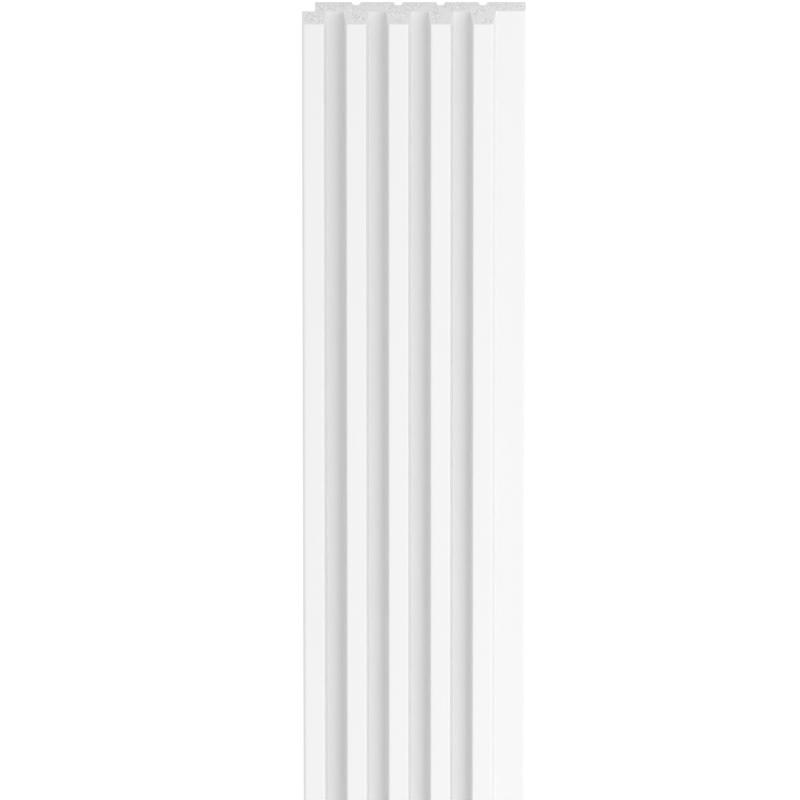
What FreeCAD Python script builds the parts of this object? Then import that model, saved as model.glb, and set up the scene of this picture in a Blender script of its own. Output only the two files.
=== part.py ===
import FreeCAD, Part
import math
import os

# Slatted wall panel, one length of extruded foamed plastic.
# It lies on its back as it would on a floor. X runs across the panel to its tongue, Y runs
# along its length and Z points out of its slatted face. All sizes are in millimetres.

# The stock as it is sold
PANEL_LENGTH = 2650.0
PANEL_THICKNESS = 21.0
PLATE_THICKNESS = 8.9  # from the back to the floor between two slats
SIDE_EDGE_RADIUS = 2.0  # along the square side of the first slat
BACK_EDGE_RADIUS = 0.4

# The slats, whose sides lean in so that the foam leaves the die without tearing
SLAT_COUNT = 5
SLAT_PITCH = 24.4
FIRST_SLAT_CENTRE = 6.8  # from the panel's square side
SLAT_FACE_WIDTH = 11.4
SLAT_FOOT_WIDTH = 14.5
SLAT_EDGE_RADIUS = 0.9
SLAT_FOOT_RADIUS = 0.6

# The lap joint: the tongue of one panel slides under the first slat of the next
TONGUE_REACH = 7.0  # the part of the tongue that the next panel covers
TONGUE_THICKNESS = 8.5
TONGUE_EDGE_RADIUS = 1.0
LAP_CORNER_RADIUS = 0.5
CLEARANCE_ABOVE_TONGUE = 0.2
CLEARANCE_BEFORE_TONGUE = 0.5

# The half-round grooves in the back that take the glue, one behind each slat but the first
GLUE_GROOVE_RADIUS = 2.5
GLUE_GROOVE_CENTRE_DEPTH = 0.5
GLUE_GROOVE_MOUTH_RADIUS = 0.3

COVER_WIDTH = SLAT_COUNT * SLAT_PITCH
PANEL_WIDTH = COVER_WIDTH + TONGUE_REACH
LAP_WIDTH = TONGUE_REACH + CLEARANCE_BEFORE_TONGUE
LAP_HEIGHT = TONGUE_THICKNESS + CLEARANCE_ABOVE_TONGUE


def slat_centre(number):
    """Distance of a slat's middle line from the panel's square side."""
    return FIRST_SLAT_CENTRE + number * SLAT_PITCH


def slat_half_width(height):
    """Half the width of a slat at a height above the back, between its foot and its face."""
    lean = (SLAT_FOOT_WIDTH - SLAT_FACE_WIDTH) / 2 / (PANEL_THICKNESS - PLATE_THICKNESS)
    return SLAT_FACE_WIDTH / 2 + (PANEL_THICKNESS - height) * lean


def glue_groove(centre):
    """Corners of one groove in the back, as distance, height and radius."""
    depth = GLUE_GROOVE_CENTRE_DEPTH + GLUE_GROOVE_RADIUS
    left = centre - GLUE_GROOVE_RADIUS
    right = centre + GLUE_GROOVE_RADIUS
    return [
        (left, 0, GLUE_GROOVE_MOUTH_RADIUS),
        (left, depth, GLUE_GROOVE_RADIUS),
        (right, depth, GLUE_GROOVE_RADIUS),
        (right, 0, GLUE_GROOVE_MOUTH_RADIUS),
    ]


def slat(number):
    """Corners of one slat, from the foot on its tongue side to the foot on the other side."""
    centre = slat_centre(number)
    is_last = number == SLAT_COUNT - 1
    foot_height = TONGUE_THICKNESS if is_last else PLATE_THICKNESS
    face_half = slat_half_width(PANEL_THICKNESS)
    return [
        (centre + slat_half_width(foot_height), foot_height, SLAT_FOOT_RADIUS),
        (centre + face_half, PANEL_THICKNESS, SLAT_EDGE_RADIUS),
        (centre - face_half, PANEL_THICKNESS, SLAT_EDGE_RADIUS),
        (centre - slat_half_width(PLATE_THICKNESS), PLATE_THICKNESS, SLAT_FOOT_RADIUS),
    ]


def first_slat():
    """Corners of the first slat, which ends in the square side above the lap."""
    return slat(0)[:2] + [
        (0, PANEL_THICKNESS, SIDE_EDGE_RADIUS),
        (0, LAP_HEIGHT, BACK_EDGE_RADIUS),
    ]


def tongue():
    """Corners of the tongue's outer edge."""
    return [
        (PANEL_WIDTH, 0, BACK_EDGE_RADIUS),
        (PANEL_WIDTH, TONGUE_THICKNESS, TONGUE_EDGE_RADIUS),
    ]


def lap():
    """Corners of the step in the back that takes the tongue of the next panel."""
    return [
        (LAP_WIDTH, LAP_HEIGHT, LAP_CORNER_RADIUS),
        (LAP_WIDTH, 0, BACK_EDGE_RADIUS),
    ]


def section_corners():
    """All corners of the section, once round from the back through the tongue to the lap."""
    corners = []
    for number in range(1, SLAT_COUNT):
        corners += glue_groove(slat_centre(number))
    corners += tongue()
    for number in reversed(range(1, SLAT_COUNT)):
        corners += slat(number)
    return corners + first_slat() + lap()


def rounded_corner(before, corner, after, radius):
    """Start, middle and end of the arc that rounds off a corner."""
    way_back = (before - corner).normalize()
    way_on = (after - corner).normalize()
    half_angle = way_back.getAngle(way_on) / 2
    setback = radius / math.tan(half_angle)
    inward = (way_back + way_on).normalize()
    centre = corner + inward * (radius / math.sin(half_angle))
    return corner + way_back * setback, centre - inward * radius, corner + way_on * setback


def rounded_outline(corners):
    """Closed wire of straight lines and tangent arcs through corners in the X-Z plane."""
    points = [FreeCAD.Vector(x, 0, z) for x, z, radius in corners]
    arcs = []
    for i, (x, z, radius) in enumerate(corners):
        following = points[(i + 1) % len(points)]
        arcs.append(rounded_corner(points[i - 1], points[i], following, radius))
    edges = []
    for i, (start, middle, end) in enumerate(arcs):
        line_start = arcs[i - 1][2]
        if line_start.distanceToPoint(start) > 1e-6:  # the two arcs of a half round touch
            edges.append(Part.LineSegment(line_start, start).toShape())
        edges.append(Part.Arc(start, middle, end).toShape())
    return Part.Wire(edges)


def slat_panel():
    """The section extruded over the panel's length, centred over the frame's origin."""
    panel = Part.Face(rounded_outline(section_corners()))
    panel = panel.extrude(FreeCAD.Vector(0, PANEL_LENGTH, 0))
    panel.translate(FreeCAD.Vector(-PANEL_WIDTH / 2, -PANEL_LENGTH / 2, 0))
    return panel


os.makedirs("parts", exist_ok=True)
slat_panel().exportStep("parts/slat_panel.step")
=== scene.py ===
import math
import bmesh
import bpy
from mathutils import Matrix, Vector, noise
from mathutils.kdtree import KDTree


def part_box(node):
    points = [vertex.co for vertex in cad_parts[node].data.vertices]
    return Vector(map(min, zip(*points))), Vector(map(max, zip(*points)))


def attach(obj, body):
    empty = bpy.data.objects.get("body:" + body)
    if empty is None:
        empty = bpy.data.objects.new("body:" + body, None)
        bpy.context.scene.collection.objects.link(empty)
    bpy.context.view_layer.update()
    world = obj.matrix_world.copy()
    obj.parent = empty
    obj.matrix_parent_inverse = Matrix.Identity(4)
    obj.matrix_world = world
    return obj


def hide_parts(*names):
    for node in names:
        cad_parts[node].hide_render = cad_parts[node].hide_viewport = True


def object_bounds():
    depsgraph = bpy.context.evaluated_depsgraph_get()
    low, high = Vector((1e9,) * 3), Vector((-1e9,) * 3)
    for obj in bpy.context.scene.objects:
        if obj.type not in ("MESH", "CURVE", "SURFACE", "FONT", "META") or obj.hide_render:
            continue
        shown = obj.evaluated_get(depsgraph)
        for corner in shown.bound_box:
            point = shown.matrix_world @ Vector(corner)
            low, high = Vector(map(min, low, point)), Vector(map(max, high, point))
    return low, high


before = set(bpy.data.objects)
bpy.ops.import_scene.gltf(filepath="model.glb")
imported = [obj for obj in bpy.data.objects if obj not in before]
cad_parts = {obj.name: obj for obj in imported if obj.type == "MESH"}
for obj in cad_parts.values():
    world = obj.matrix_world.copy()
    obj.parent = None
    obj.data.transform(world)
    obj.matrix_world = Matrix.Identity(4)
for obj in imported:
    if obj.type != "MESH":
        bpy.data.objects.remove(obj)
cad_low, cad_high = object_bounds()

# The wall panel
# One length of foamed polystyrene, extruded through a die that leaves a closed satin skin all
# round, and cut to length with a fine saw that opens the foam's cells on both ends.

MM = 0.001
JOINED = 0.001 * MM  # corners nearer together than this are one
FLAT_ANGLE = math.radians(0.05)  # faces that meet flatter than this are one
DICE = 0.22 * MM  # size of the small faces that the sawn ends are divided into
DICE_SHIFT = 0.013  # part of such a face by which the cuts are moved off the outline's corners
ON_CUT = 0.0001 * MM  # corners nearer to a cut than this lie on it
SLIVER = 0.002 * MM  # edges shorter than this are closed up
END_NORMAL = 0.9  # a face that points this much along the panel belongs to a sawn end
SHARP_ANGLE = math.radians(40)  # edges that bend more than this look sharp

# The large cells are drawn coarser than the real ones, so that they show. The material adds finer.
CELL_SIZE = 0.55 * MM
CELL_DEPTH = 0.2 * MM
CELL_WALL = 0.3  # part of a cell's size over which its floor falls away from its rim
SKIN_DEPTH = 0.5 * MM  # no large cell lies nearer to the skin than this
CORE_DEPTH = 2.2 * MM  # from this far inside the skin the cells have their full strength
TORN_SIZE = 7.0 * MM  # size of the patches in which the saw has torn the cells open
TORN_FROM, TORN_TO = -0.4, 0.2  # levels of the patches' noise where tearing starts and is full
CLEAN_CUT = 0.15  # how strongly the cells show outside those patches
TONE_STEP = 11.3  # sets neighbouring cells far enough apart in the noise to differ in tone

MAP_MARGIN = 0.01
MAP_SHELF = 0.18  # height in the baking map that each sawn end takes

POLYSTYRENE_IOR = 1.59
NOISE_LOW, NOISE_HIGH = 0.25, 0.75  # nearly all of a noise pattern lies between these
LINE_PITCH = 0.9 * MM  # between the faint lines that the die draws along the panel
LINE_HEIGHT = 0.015 * MM
LINE_SQUEEZE = 0.004  # squeezes the pattern along the panel, which draws its lines out long
PEEL_SIZE = 6.0 * MM  # the skin's soft unevenness, from the foam that swells behind it
PEEL_HEIGHT = 0.04 * MM
PEEL_SQUEEZE = 0.06
FROTH_SIZE = 0.3 * MM  # the finest cells that show, drawn coarser than the real ones
FROTH_DEPTH = 0.08 * MM
FROTH_TONE = 0.44  # how much the finest cells add to a large cell's tone, either way
TONE_REACH = 0.7  # tone of a cell, either way, that gets the darkest or the lightest colour


def is_sawn(face):
    """Whether a face lies in one of the two sawn ends."""
    return abs(face.normal.y) > END_NORMAL


def diced_panel(node):
    """The node's own shape with its loose triangles joined, and its ends cut into small faces."""
    bm = bmesh.new()
    bm.from_mesh(node.data)
    bmesh.ops.remove_doubles(bm, verts=bm.verts, dist=JOINED)
    bmesh.ops.dissolve_limit(bm, angle_limit=FLAT_ANGLE, verts=bm.verts, edges=bm.edges)
    low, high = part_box("slat_panel")
    for axis in (0, 2):
        size = high[axis] - low[axis]
        steps = round(size / DICE)
        for step in range(1, steps):
            normal = Vector((0, 0, 0))
            normal[axis] = 1
            place = normal * (low[axis] + (step + DICE_SHIFT) * size / steps)
            bmesh.ops.bisect_plane(
                bm,
                geom=bm.verts[:] + bm.edges[:] + bm.faces[:],
                dist=ON_CUT,
                plane_co=place,
                plane_no=normal,
            )
    bmesh.ops.dissolve_degenerate(bm, dist=SLIVER, edges=bm.edges)
    return bm


def ramp(value, start, end):
    """0 up to the start, 1 from the end on, and a smooth rise between them."""
    part = min(1.0, max(0.0, (value - start) / (end - start)))
    return part * part * (3 - 2 * part)


def open_cells(bm):
    """Sink the cells of the foam's core into both sawn ends, and keep each cell's tone: a random
    tone, whose dark end is also painted shade in the deeper pits.
    """
    tone_and_pit_shade_layer = bm.verts.layers.float.new("foam_cell_tone_and_pit_shade")
    edge_of_end = [v for v in bm.verts if len({is_sawn(face) for face in v.link_faces}) == 2]
    outline = KDTree(len(edge_of_end))
    for number, vert in enumerate(edge_of_end):
        outline.insert(vert.co, number)
    outline.balance()
    for vert in bm.verts:
        if all(is_sawn(face) for face in vert.link_faces):
            flat = Vector((vert.co.x, math.copysign(1.0, vert.co.y), vert.co.z))
            core = ramp(outline.find(vert.co)[2], SKIN_DEPTH, CORE_DEPTH)
            torn = ramp(noise.noise(flat / TORN_SIZE), TORN_FROM, TORN_TO)
            opened = CLEAN_CUT + (1 - CLEAN_CUT) * torn
            distances, middles = noise.voronoi(flat / CELL_SIZE)
            tone = noise.cell(middles[0] * TONE_STEP)
            tone *= abs(tone) * core * opened
            floor = ramp(distances[1] - distances[0], 0, CELL_WALL)
            # The darker a cell is, the deeper it lies, and the lightest ones stay level. So the
            # cells' dark colour is painted shade in the pits as well as random tone.
            depth = (0.5 * core * opened - 0.5 * tone) * floor
            vert[tone_and_pit_shade_layer] = tone
            vert.co.y -= math.copysign(depth * CELL_DEPTH, vert.co.y)


def lay_out_map(bm):
    """A UV map for baking: each sawn end flat and large, and the skin unrolled as one band."""
    flat_map = bm.loops.layers.uv.new("OFBake")
    low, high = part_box("slat_panel")
    width, length = high[0] - low[0], high[1] - low[1]
    rim = {
        edge
        for edge in bm.edges
        if edge.verts[0].co.y > 0 and len({is_sawn(face) for face in edge.link_faces}) == 2
    }
    vert = min((v for edge in rim for v in edge.verts), key=lambda v: (v.co.z, v.co.x))
    distances, way_round = [], 0.0
    outline = KDTree(len(rim))
    while rim:
        outline.insert((vert.co.x, 0, vert.co.z), len(distances))
        distances.append(way_round)
        edge = next(edge for edge in vert.link_edges if edge in rim)
        rim.remove(edge)
        way_round += edge.calc_length()
        vert = edge.other_vert(vert)
    outline.balance()
    fill = 1 - 2 * MAP_MARGIN
    skin_foot = MAP_MARGIN + 2 * MAP_SHELF
    for face in bm.faces:
        if is_sawn(face):
            shelf = MAP_MARGIN + (MAP_SHELF if face.normal.y > 0 else 0)
            for loop in face.loops:
                u = MAP_MARGIN + fill * (loop.vert.co.x - low[0]) / width
                v = shelf + fill * (loop.vert.co.z - low[2]) / width
                loop[flat_map].uv = (u, v)
            continue
        places = [outline.find((v.co.x, 0, v.co.z))[1] for v in face.verts]
        rounds = [distances[place] for place in places]
        if max(rounds) - min(rounds) > way_round / 2:
            rounds = [r + way_round if r < way_round / 2 else r for r in rounds]
        for loop, r in zip(face.loops, rounds):
            u = MAP_MARGIN + fill * (loop.vert.co.y - low[1]) / length
            v = skin_foot + (1 - MAP_MARGIN - skin_foot) * r / way_round
            loop[flat_map].uv = (u, v)


def linear(hex_colour):
    """An sRGB hex colour as the linear colour that a shader takes."""
    parts = [int(hex_colour[i : i + 2], 16) / 255 for i in (1, 3, 5)]
    parts = [p / 12.92 if p <= 0.04045 else ((p + 0.055) / 1.055) ** 2.4 for p in parts]
    return (*parts, 1.0)


def add_node(tree, kind, settings=None, links=None):
    """Add a node, set its properties or its inputs by name, and link outputs to its inputs."""
    made = tree.nodes.new(kind)
    for name, value in (settings or {}).items():
        if hasattr(made, name):
            setattr(made, name, value)
        else:
            made.inputs[name].default_value = value
    for name, output in (links or {}).items():
        tree.links.new(output, made.inputs[name])
    return made


def new_material(name):
    """An empty node material with its output node."""
    material = bpy.data.materials.new(name)
    material.use_nodes = True
    material.node_tree.nodes.clear()
    return material, add_node(material.node_tree, "ShaderNodeOutputMaterial")


def polystyrene_skin():
    """Polystyrene skin as the die leaves it: white, satin, with faint lines along the panel."""
    material, output = new_material("extruded_polystyrene_skin")
    tree = material.node_tree
    place = add_node(tree, "ShaderNodeTexCoord").outputs["Object"]
    die = add_node(tree, "ShaderNodeMapping", {"Scale": (1, LINE_SQUEEZE, 1)}, {"Vector": place})
    lines = add_node(
        tree,
        "ShaderNodeTexNoise",
        {"Scale": 1 / LINE_PITCH, "Detail": 2.0, "Roughness": 0.6},
        {"Vector": die.outputs["Vector"]},
    )
    drawn = add_node(tree, "ShaderNodeMapping", {"Scale": (1, PEEL_SQUEEZE, 1)}, {"Vector": place})
    peel = add_node(
        tree,
        "ShaderNodeTexNoise",
        {"Scale": 1 / PEEL_SIZE, "Detail": 3.0, "Roughness": 0.55},
        {"Vector": drawn.outputs["Vector"]},
    )
    tone = add_node(
        tree,
        "ShaderNodeMix",
        {"data_type": "RGBA"},
        {"Factor": peel.outputs["Fac"]},
    )
    # Of this node's sockets, inputs 6 and 7 and output 2 are the ones for colours.
    tone.inputs[6].default_value = linear("#E6E6E6")
    tone.inputs[7].default_value = linear("#E8E8E8")
    shine = add_node(
        tree,
        "ShaderNodeMapRange",
        {"To Min": 0.34, "To Max": 0.44},
        {"Value": lines.outputs["Fac"]},
    )
    fine = add_node(
        tree,
        "ShaderNodeBump",
        {"Strength": 0.2, "Distance": LINE_HEIGHT},
        {"Height": lines.outputs["Fac"]},
    )
    soft = add_node(
        tree,
        "ShaderNodeBump",
        {"Strength": 0.2, "Distance": PEEL_HEIGHT},
        {"Height": peel.outputs["Fac"], "Normal": fine.outputs["Normal"]},
    )
    shader = add_node(
        tree,
        "ShaderNodeBsdfPrincipled",
        {"IOR": POLYSTYRENE_IOR, "Specular IOR Level": 0.35},
        {
            "Base Color": tone.outputs[2],
            "Roughness": shine.outputs["Result"],
            "Normal": soft.outputs["Normal"],
        },
    )
    tree.links.new(shader.outputs["BSDF"], output.inputs["Surface"])
    return material


def sawn_polystyrene():
    """Polystyrene foam opened by a saw: a dull surface whose cut cells vary the white with random
    tone and with painted shade, darker in the deeper pits.
    """
    material, output = new_material("sawn_polystyrene_foam")
    tree = material.node_tree
    place = add_node(tree, "ShaderNodeTexCoord").outputs["Object"]
    # The cells' tone is random, and its dark end is also painted shade in the pits that the mesh
    # sinks deeper.
    cells = add_node(tree, "ShaderNodeAttribute", {"attribute_name": "foam_cell_tone_and_pit_shade"})
    froth = add_node(
        tree,
        "ShaderNodeTexNoise",
        {"Scale": 1 / FROTH_SIZE, "Detail": 2.0, "Roughness": 0.6},
        {"Vector": place},
    )
    spread = add_node(
        tree,
        "ShaderNodeMapRange",
        {
            "From Min": NOISE_LOW,
            "From Max": NOISE_HIGH,
            "To Min": -FROTH_TONE,
            "To Max": FROTH_TONE,
        },
        {"Value": froth.outputs["Fac"]},
    )
    mottle_and_pit_shade = add_node(tree, "ShaderNodeMath", {"operation": "ADD"})
    tree.links.new(cells.outputs["Fac"], mottle_and_pit_shade.inputs[0])
    tree.links.new(spread.outputs["Result"], mottle_and_pit_shade.inputs[1])
    share = add_node(
        tree,
        "ShaderNodeMapRange",
        {"From Min": -TONE_REACH, "From Max": TONE_REACH},
        {"Value": mottle_and_pit_shade.outputs["Value"]},
    )
    # The darker colours are partly painted shade in the cells' pits and partly the cells' random
    # tone.
    tone = add_node(tree, "ShaderNodeValToRGB", {}, {"Fac": share.outputs["Result"]})
    tone.color_ramp.elements[0].color = linear("#D4D4D4")
    tone.color_ramp.elements[1].color = linear("#FFFFFF")
    tone.color_ramp.elements.new(0.5).color = linear("#ECECEC")
    pits = add_node(
        tree,
        "ShaderNodeBump",
        {"Strength": 0.5, "Distance": FROTH_DEPTH},
        {"Height": froth.outputs["Fac"]},
    )
    shader = add_node(
        tree,
        "ShaderNodeBsdfPrincipled",
        {"IOR": POLYSTYRENE_IOR, "Roughness": 0.9},
        {"Base Color": tone.outputs["Color"], "Normal": pits.outputs["Normal"]},
    )
    tree.links.new(shader.outputs["BSDF"], output.inputs["Surface"])
    return material


panel_form = diced_panel(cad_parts["slat_panel"])
sawn_faces = [is_sawn(face) for face in panel_form.faces]
lay_out_map(panel_form)
open_cells(panel_form)
for face, sawn in zip(panel_form.faces, sawn_faces):
    face.smooth = True
    face.material_index = int(sawn)
panel_mesh = bpy.data.meshes.new("foam_panel")
panel_form.to_mesh(panel_mesh)
panel_form.free()
panel_mesh.set_sharp_from_angle(angle=SHARP_ANGLE)
panel_mesh.materials.append(polystyrene_skin())
panel_mesh.materials.append(sawn_polystyrene())
panel = bpy.data.objects.new("foam_panel", panel_mesh)
bpy.context.scene.collection.objects.link(panel)
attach(panel, "root")
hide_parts("slat_panel")

# The floor
# A plain white studio floor that the panel lies on. The camera sees it as white as its backdrop,
# and keeps only the darkest of the panel's shadow on it.

FLOOR_SIDE = 600.0  # past its edge the room is as white as the floor
FLOOR_DROP = 0.02 * MM  # keeps the floor off the panel's own back face
FLOOR_SHADOW = 0.12  # how much of the floor's own shade the camera sees
FLOOR_GLOW = 1.09  # brings the rest up to white


def seen_rather_than_lighting(tree):
    """1 where the surface is looked at, mirrored or seen through, and 0 where it gives light."""
    ray = add_node(tree, "ShaderNodeLightPath")
    mirrored = add_node(tree, "ShaderNodeMath", {"operation": "MAXIMUM"})
    tree.links.new(ray.outputs["Is Camera Ray"], mirrored.inputs[0])
    tree.links.new(ray.outputs["Is Glossy Ray"], mirrored.inputs[1])
    seen = add_node(tree, "ShaderNodeMath", {"operation": "MAXIMUM"})
    tree.links.new(mirrored.outputs["Value"], seen.inputs[0])
    tree.links.new(ray.outputs["Is Transmission Ray"], seen.inputs[1])
    return seen.outputs["Value"]


def studio_floor():
    """Matt white floor, lit as any surface, and shown near white to the camera."""
    material, output = new_material("matt_white_floor")
    tree = material.node_tree
    paint = add_node(tree, "ShaderNodeBsdfDiffuse", {"Color": linear("#E6E6E6")})
    glow = add_node(tree, "ShaderNodeEmission", {"Strength": FLOOR_GLOW})
    shown = add_node(tree, "ShaderNodeMixShader", {"Fac": FLOOR_SHADOW})
    tree.links.new(glow.outputs["Emission"], shown.inputs[1])
    tree.links.new(paint.outputs["BSDF"], shown.inputs[2])
    mixed = add_node(tree, "ShaderNodeMixShader", {}, {"Fac": seen_rather_than_lighting(tree)})
    tree.links.new(paint.outputs["BSDF"], mixed.inputs[1])
    tree.links.new(shown.outputs["Shader"], mixed.inputs[2])
    tree.links.new(mixed.outputs["Shader"], output.inputs["Surface"])
    return material


floor_form = bmesh.new()
bmesh.ops.create_grid(
    floor_form,
    x_segments=1,
    y_segments=1,
    size=FLOOR_SIDE / 2,
    matrix=Matrix.Translation((0, 0, cad_low[2] - FLOOR_DROP)),
)
floor_mesh = bpy.data.meshes.new("floor")
floor_form.to_mesh(floor_mesh)
floor_form.free()
floor_mesh.materials.append(studio_floor())
floor = bpy.data.objects.new("floor", floor_mesh)
bpy.context.scene.collection.objects.link(floor)

# The light
# A long soft box over the tongue side, as long as the panel and more, and an even white room.

WHITE = linear("#FFFFFF")
ROOM_STRENGTH = 0.82  # of the light that the room gives; it is seen at full white
BOX_WIDTH = 0.54
BOX_LENGTH = 3.9
BOX_DISTANCE = 0.85
BOX_LEAN = math.radians(32.5)  # from straight overhead towards the tongue side
BOX_POWER = 8.4

world = bpy.data.worlds.new("white_room")
world.use_nodes = True
room = world.node_tree
room.nodes.clear()
room_light = add_node(
    room, "ShaderNodeBackground", {"Color": WHITE, "Strength": ROOM_STRENGTH}
)
room_seen = add_node(room, "ShaderNodeBackground", {"Color": WHITE, "Strength": 1.0})
room_mix = add_node(room, "ShaderNodeMixShader", {}, {"Fac": seen_rather_than_lighting(room)})
room.links.new(room_light.outputs["Background"], room_mix.inputs[1])
room.links.new(room_seen.outputs["Background"], room_mix.inputs[2])
add_node(room, "ShaderNodeOutputWorld", {}, {"Surface": room_mix.outputs["Shader"]})
bpy.context.scene.world = world

soft_box = bpy.data.lights.new("soft_box", "AREA")
soft_box.shape = "RECTANGLE"
soft_box.size = BOX_WIDTH
soft_box.size_y = BOX_LENGTH
soft_box.energy = BOX_POWER
soft_box_stand = bpy.data.objects.new("soft_box", soft_box)
soft_box_stand.matrix_world = Matrix.Rotation(BOX_LEAN, 4, "Y") @ Matrix.Translation(
    (0, 0, BOX_DISTANCE)
)
soft_box_stand.visible_camera = False
bpy.context.scene.collection.objects.link(soft_box_stand)

# The camera
# It looks down on the panel from beyond the cut end, with that end at the top of the picture.
# A very long lens keeps the panel's sides as parallel as the picture shows them.

PICTURE = 800  # pixels along each side
PIXELS_PER_MM = 1.7213
SCALE_ROW = 345  # picture row at which that scale holds exactly
END_COLUMN = 413.8  # where the middle of the cut end's back edge lies in the picture
END_ROW = 2.05
TILT = math.radians(38.5)  # from straight down on the slats towards the cut end
LENS = 1700.0
SENSOR = 36.0

pixel = MM / PIXELS_PER_MM
distance = PICTURE * pixel * LENS / SENSOR
end_nearer = (SCALE_ROW - END_ROW) * pixel * math.tan(TILT)
end_pixel = pixel * (distance - end_nearer) / distance
# The camera stands straight over the panel's middle, and is turned a hair so that this middle
# lies beside the picture's own.
turn = math.atan((END_COLUMN - PICTURE / 2) * SENSOR / LENS / PICTURE)
across = Vector((1, 0, 0))
up = Vector((0, math.cos(TILT), -math.sin(TILT)))
over = Vector((0, math.sin(TILT), math.cos(TILT)))
stand = Vector((0, cad_high[1], cad_low[2])) + over * (distance - end_nearer)
stand -= up * ((PICTURE / 2 - END_ROW) * end_pixel)
right = across * math.cos(turn) - over * math.sin(turn)
back = over * math.cos(turn) + across * math.sin(turn)
camera = bpy.data.cameras.new("camera")
camera.lens = LENS
camera.sensor_width = SENSOR
camera.clip_start = 0.1
camera.clip_end = 500.0
camera_stand = bpy.data.objects.new("camera", camera)
camera_stand.matrix_world = Matrix.Translation(stand) @ Matrix(
    (
        (right.x, up.x, back.x, 0),
        (right.y, up.y, back.y, 0),
        (right.z, up.z, back.z, 0),
        (0, 0, 0, 1),
    )
)
bpy.context.scene.collection.objects.link(camera_stand)
bpy.context.scene.camera = camera_stand
bpy.context.scene.view_settings.view_transform = "Standard"
